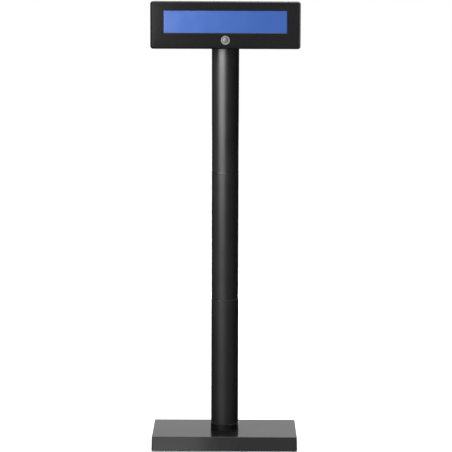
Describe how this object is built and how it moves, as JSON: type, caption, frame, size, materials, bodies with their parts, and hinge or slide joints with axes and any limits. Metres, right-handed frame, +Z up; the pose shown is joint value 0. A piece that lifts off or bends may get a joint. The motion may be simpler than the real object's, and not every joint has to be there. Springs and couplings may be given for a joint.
{
  "type": "customer pole display",
  "caption": "Counter-top customer display: a wide display head with a blue window on a tall sectioned pole and a weighted rectangular base; the head swivels and tilts.",
  "frame": {"origin": "on the counter under the middle of the base, on the axis of the pole", "axes": "+Z up the pole, the display window faces -Y, +X to the right of someone facing the window"},
  "size_m": [0.2094, 0.116, 0.6381],
  "materials": {
    "black_plastic": "satin",
    "base_plastic": "satin",
    "pole_plastic": "satin",
    "blue_filter": "gloss",
    "silver": "satin",
    "plated_steel": "satin",
    "dark_steel": "satin",
    "rubber": "matte",
    "acetal": "satin",
    "glass": "gloss",
    "circuit_board": "satin",
    "chip": "matte"
  },
  "bodies": {
    "root": {"base_shell": "base_plastic", "base_bottom_cover": "black_plastic", "foot_collar": "black_plastic", "pole_coupler_lower": "black_plastic", "pole_coupler_upper": "black_plastic", "pole_section_lower": "pole_plastic", "pole_section_middle": "pole_plastic", "pole_section_upper": "pole_plastic", "base_weight_plate": "dark_steel", "pole_mount": "plated_steel", "cover_screw_1": "plated_steel", "cover_screw_2": "plated_steel", "cover_screw_3": "plated_steel", "cover_screw_4": "plated_steel", "mount_screw_1": "plated_steel", "mount_screw_2": "plated_steel", "mount_screw_3": "plated_steel", "pole_lead": "rubber", "rubber_foot_1": "rubber", "rubber_foot_2": "rubber", "rubber_foot_3": "rubber", "rubber_foot_4": "rubber", "swivel_bush": "acetal", "jack_board": "circuit_board", "data_jack": "chip"},
    "neck": {"swivel_neck": "dark_steel", "retaining_clip": "plated_steel", "neck_lead": "rubber", "tilt_bolt_left": "dark_steel", "friction_washer_left": "acetal", "disc_spring_left": "plated_steel", "hinge_nut_left": "plated_steel", "tilt_bolt_right": "dark_steel", "friction_washer_right": "acetal", "disc_spring_right": "plated_steel", "hinge_nut_right": "plated_steel"},
    "head": {"head_front_housing": "black_plastic", "display_window": "blue_filter", "window_gasket": "rubber", "round_badge": "silver", "head_rear_shell": "black_plastic", "tilt_bracket": "dark_steel", "vfd_front_glass": "glass", "vfd_grid": "plated_steel", "vfd_anode_plate": "glass", "driver_board": "circuit_board", "controller_chip": "chip", "driver_chip": "chip", "power_coil": "dark_steel", "lead_header": "acetal", "head_lead": "rubber", "board_screw_left": "plated_steel", "board_screw_right": "plated_steel", "rear_screw_1": "dark_steel", "rear_screw_2": "dark_steel", "rear_screw_3": "dark_steel", "rear_screw_4": "dark_steel", "bracket_screw_left": "dark_steel", "bracket_screw_right": "dark_steel"}
  },
  "joints": [
    {"name": "swivel", "type": "hinge", "parent": "root", "child": "neck", "pos_m": [0, 0, 0.578], "axis": [0, 0, 1], "range_deg": [-155, 155]},
    {"name": "tilt", "type": "hinge", "parent": "neck", "child": "head", "pos_m": [0, 0, 0.605], "axis": [-1, 0, 0], "range_deg": [-5, 35]}
  ]
}
